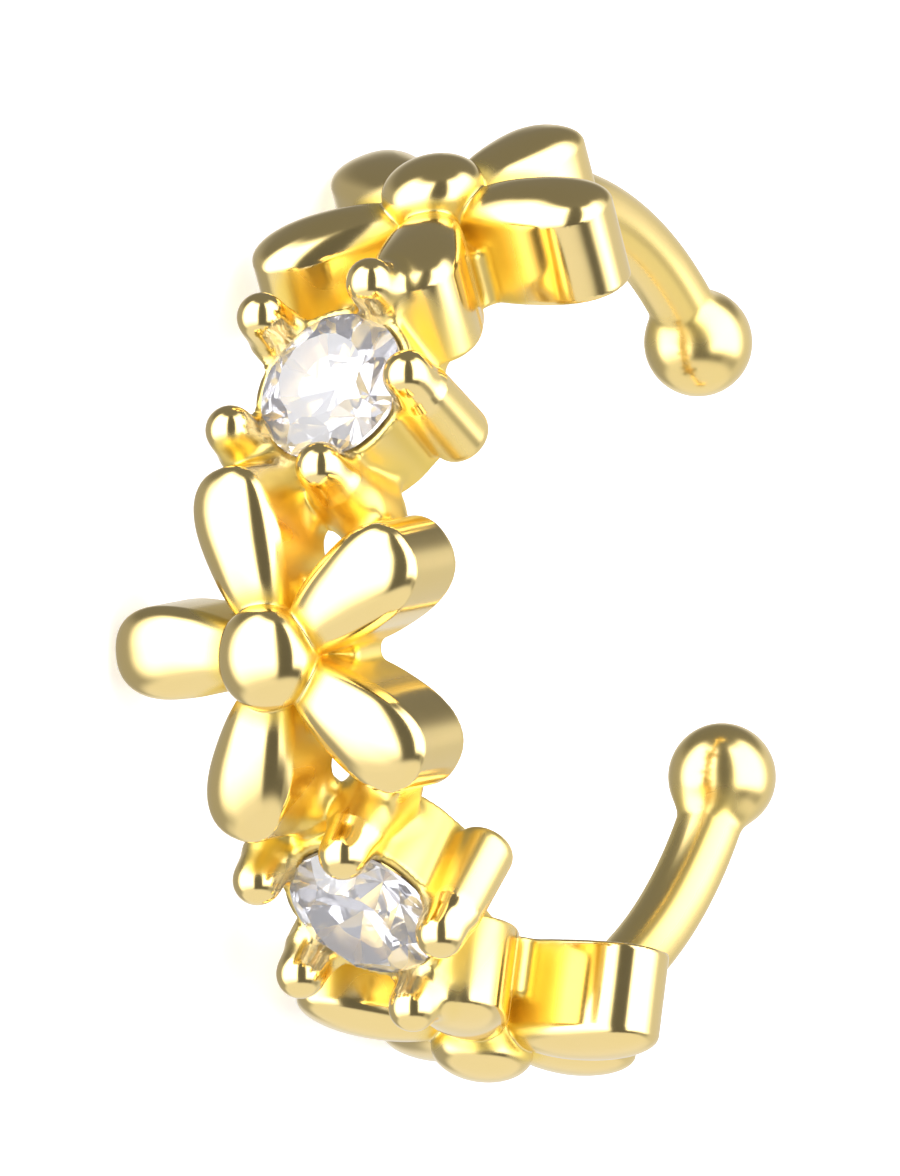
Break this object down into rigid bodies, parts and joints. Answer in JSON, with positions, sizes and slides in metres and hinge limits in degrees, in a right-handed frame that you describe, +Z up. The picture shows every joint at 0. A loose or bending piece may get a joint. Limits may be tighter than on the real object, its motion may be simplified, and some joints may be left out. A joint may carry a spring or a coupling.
{
  "type": "ear cuff",
  "caption": "C-shaped open-work ear cuff with flowers, round clear stones in bead-tipped prong settings, and plain stems ending in balls.",
  "frame": {"origin": "centre of the bounding box at the surface the cuff rests on", "axes": "the cuff lies on its side: +Z up, nearly along the ring's axis; +X towards the front flower, the mouth between the balls at -X; +Y towards the end that is lower when worn"},
  "size_m": [0.0124, 0.013, 0.005],
  "materials": {
    "gold_plate": "mirror polished yellow gold plate over brass",
    "clear_stone": "clear round brilliant cut"
  },
  "bodies": {
    "root": {"cuff_casting": "gold_plate", "stone_upper": "clear_stone", "stone_lower": "clear_stone"}
  },
  "joints": []
}
